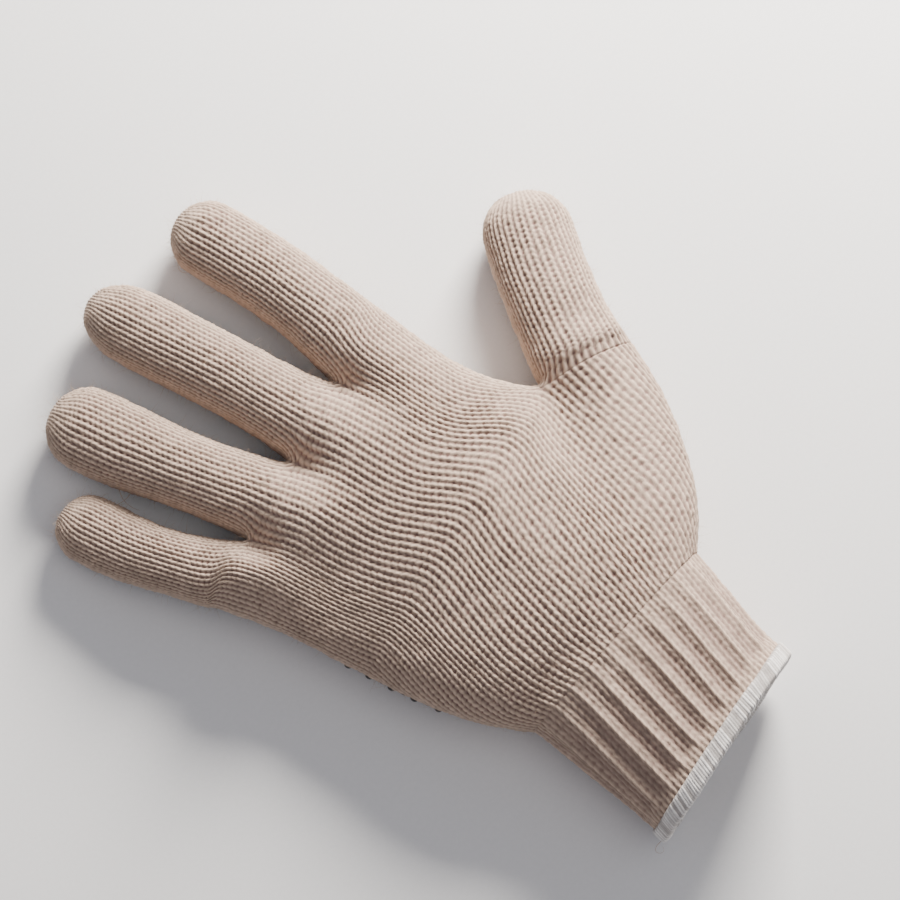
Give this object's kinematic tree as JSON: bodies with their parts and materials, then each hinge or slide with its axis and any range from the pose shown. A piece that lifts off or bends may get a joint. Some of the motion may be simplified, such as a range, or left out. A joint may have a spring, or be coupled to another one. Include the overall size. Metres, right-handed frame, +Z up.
{
  "type": "cotton work glove",
  "caption": "String-knit cotton work glove for the left hand with dotted palm, ribbed wrist cuff and overlocked hem.",
  "frame": {"origin": "middle of the glove's box, on the surface that it rests on, palm down", "axes": "+Y from the cuff towards the fingertips, +X across the hand towards the thumb, +Z up out of the back of the hand"},
  "size_m": [0.172, 0.242, 0.0405],
  "materials": {
    "cotton_knit": "coarse plain knit of natural cotton yarn, matt",
    "cotton_rib": "ribbed knit of natural cotton yarn, matt",
    "overlock_yarn": "close overlock stitches of white yarn",
    "grip_dots": "soft black grip dots on the palm side"
  },
  "bodies": {
    "root": {"hand": "cotton_knit", "little_finger": "cotton_knit", "ring_finger": "cotton_knit", "middle_finger": "cotton_knit", "index_finger": "cotton_knit", "thumb": "cotton_knit", "cuff": "cotton_rib", "hem": "overlock_yarn"}
  },
  "joints": []
}
